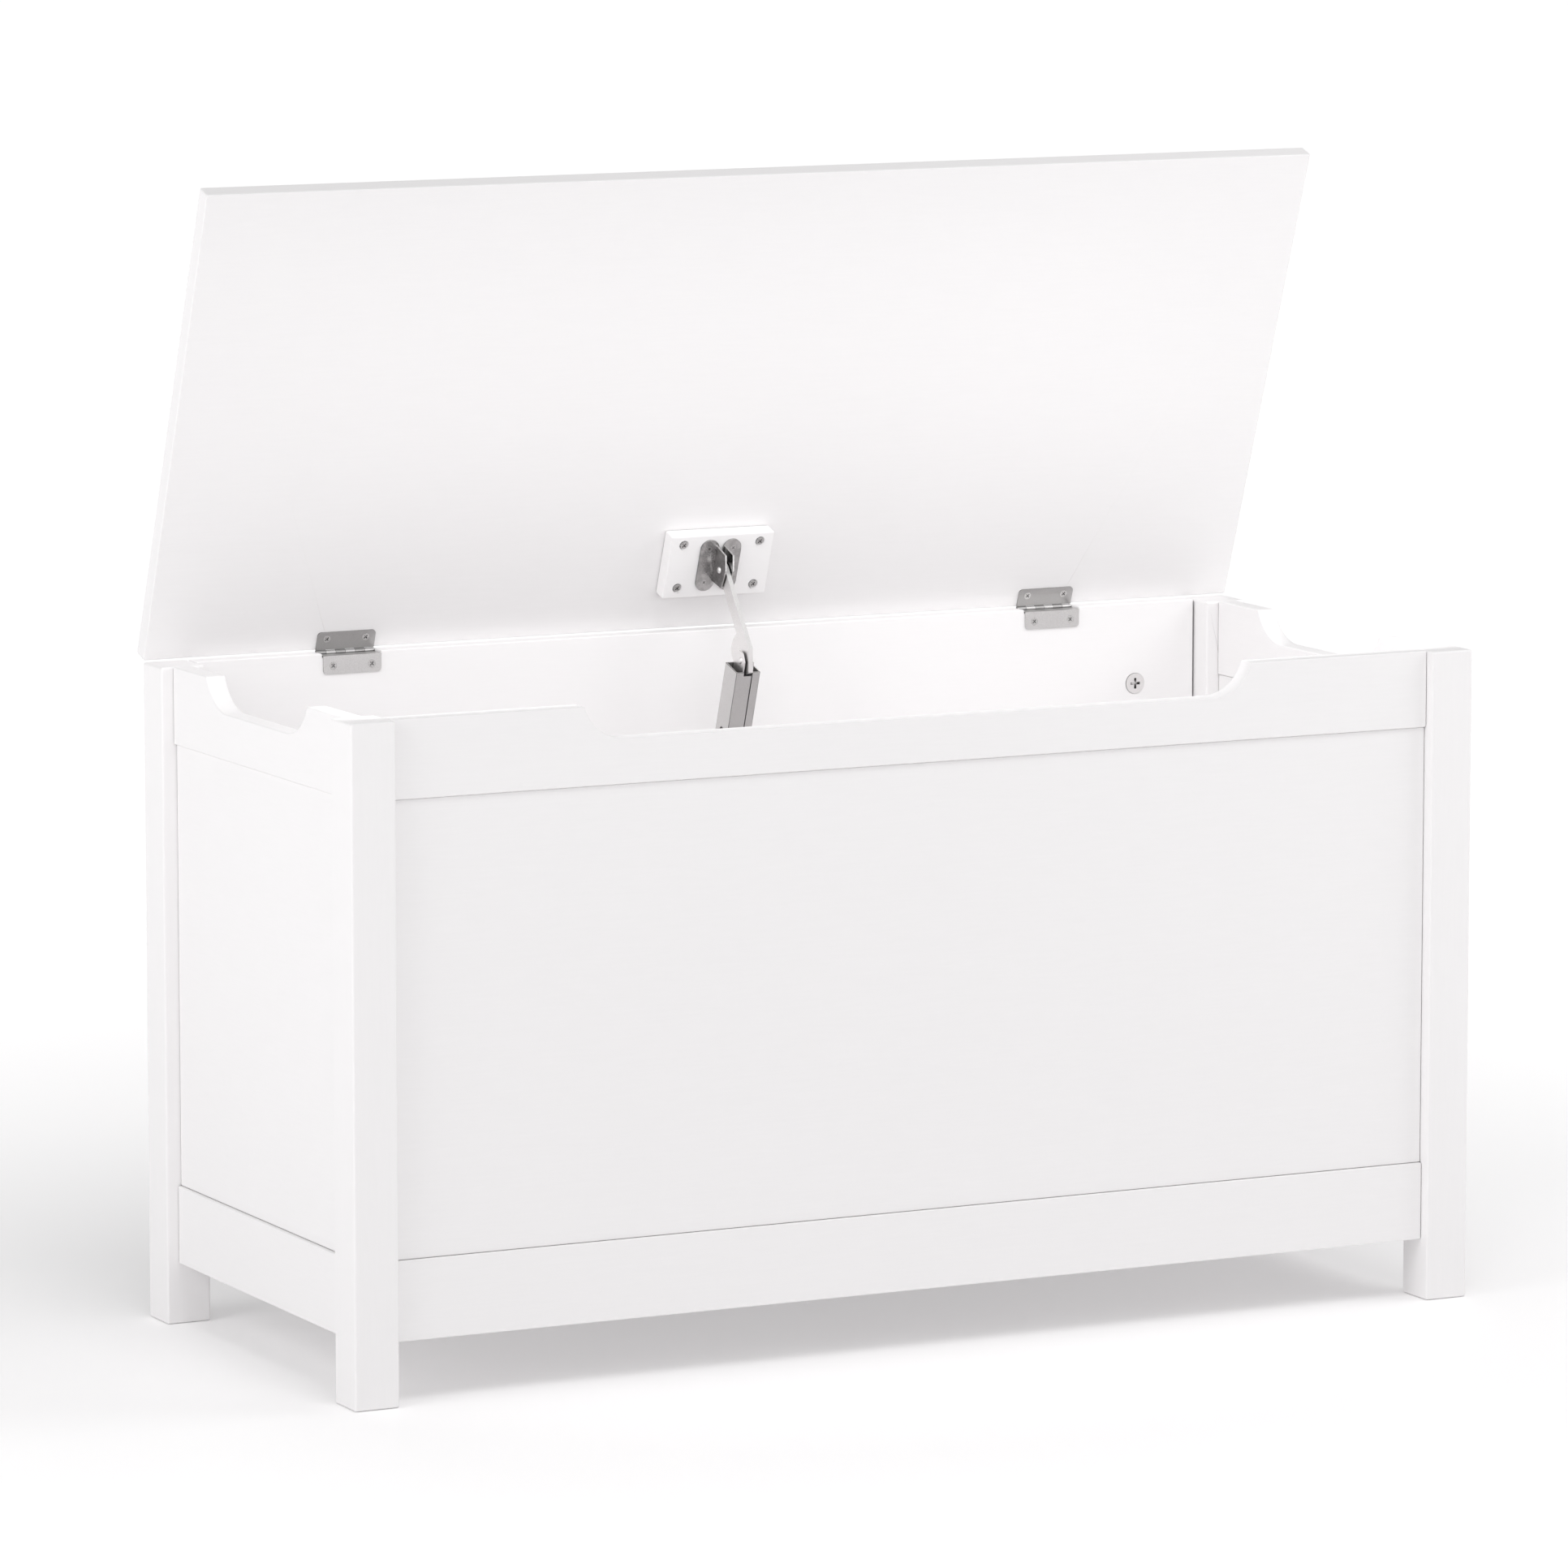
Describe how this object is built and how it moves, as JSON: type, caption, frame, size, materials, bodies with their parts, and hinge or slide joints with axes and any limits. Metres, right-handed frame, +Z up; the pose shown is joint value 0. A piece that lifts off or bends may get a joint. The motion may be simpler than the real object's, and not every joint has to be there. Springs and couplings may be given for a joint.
{
  "type": "storage bench",
  "caption": "White panelled wooden storage bench on square posts, with finger scoops in its rails and a slab lid held open by a sprung steel stay",
  "frame": {"origin": "on the floor, in the middle of the rectangle that the four posts stand on", "axes": "+X to the right as seen from the front, +Y towards the back and the hinges, +Z up"},
  "size_m": [0.901, 0.3826, 0.8364],
  "materials": {
    "white_paint": "satin white paint over fine-grained board",
    "bare_wood": "bare beech dowels",
    "hinge_steel": "brushed stainless steel",
    "stay_steel": "plain rolled steel, lightly brushed",
    "clevis_steel": "darker pressed steel",
    "screw_steel": "bright zinc-plated screws",
    "dark_plastic": "moulded black nylon"
  },
  "bodies": {
    "box": {"post_front_left": "white_paint", "post_front_right": "white_paint", "post_back_left": "white_paint", "post_back_right": "white_paint", "front_top_rail": "white_paint", "front_panel": "white_paint", "front_bottom_rail": "white_paint", "left_top_rail": "white_paint", "left_panel": "white_paint", "left_bottom_rail": "white_paint", "right_top_rail": "white_paint", "right_panel": "white_paint", "right_bottom_rail": "white_paint", "back_board": "white_paint", "floor_board": "white_paint", "floor_cleat_front": "white_paint", "floor_cleat_back": "white_paint", "floor_cleat_left": "white_paint", "floor_cleat_right": "white_paint", "floor_cleat_screws": "screw_steel", "side_rail_dowels": "bare_wood", "front_rail_dowels": "bare_wood", "cam_lock_discs": "screw_steel", "cam_lock_bolts": "screw_steel", "hinge_box_leaf_left": "hinge_steel", "hinge_box_leaf_right": "hinge_steel", "hinge_pin_left": "hinge_steel", "hinge_pin_right": "hinge_steel", "hinge_box_screws": "screw_steel", "stay_base_bracket": "stay_steel", "stay_base_pin": "screw_steel", "stay_base_screws": "screw_steel"},
    "lid": {"lid_panel": "white_paint", "hinge_lid_leaf_left": "hinge_steel", "hinge_lid_leaf_right": "hinge_steel", "hinge_lid_screws": "screw_steel", "stay_block": "white_paint", "stay_block_screws": "screw_steel", "stay_clevis_left": "clevis_steel", "stay_clevis_right": "clevis_steel", "stay_clevis_screws": "screw_steel", "stay_clevis_rivet": "screw_steel"},
    "arm": {"stay_arm": "stay_steel"},
    "tube": {"stay_tube": "stay_steel", "stay_knee_fork": "stay_steel", "stay_knee_rivet": "screw_steel", "stay_spring": "stay_steel"},
    "follower": {"stay_follower": "dark_plastic"},
    "seat": {"stay_spring_seat": "dark_plastic"}
  },
  "joints": [
    {"name": "lid_hinge", "type": "hinge", "parent": "box", "child": "lid", "pos_m": [0, 0.1832, 0.483], "axis": [1, 0, 0], "range_deg": [0, 70], "deforming": ["stay_spring"]},
    {"name": "clevis_pivot", "type": "hinge", "parent": "lid", "child": "arm", "pos_m": [-0.0008, 0.14299, 0.53179], "axis": [1, 0, 0], "range_deg": [-80, 0]},
    {"name": "knee_pivot", "type": "hinge", "parent": "arm", "child": "tube", "pos_m": [-0.0008, 0.1065, 0.4683], "axis": [1, 0, 0], "range_deg": [0, 67]},
    {"name": "follower_slide", "type": "slide", "parent": "tube", "child": "follower", "axis": [0, 0.3173, -0.9483], "range_m": [0, 0.01]},
    {"name": "seat_pivot", "type": "hinge", "parent": "box", "child": "seat", "pos_m": [-0.0008, 0.13416, 0.3932], "axis": [1, 0, 0], "range_deg": [0, 58]}
  ],
  "couplings": [
    {"joint": "clevis_pivot", "follows": "lid_hinge", "ratio": -1.135},
    {"joint": "knee_pivot", "follows": "lid_hinge", "ratio": 0.951},
    {"joint": "follower_slide", "follows": "lid_hinge", "m_per_rad": 0.0081},
    {"joint": "seat_pivot", "follows": "lid_hinge", "ratio": 0.816}
  ]
}
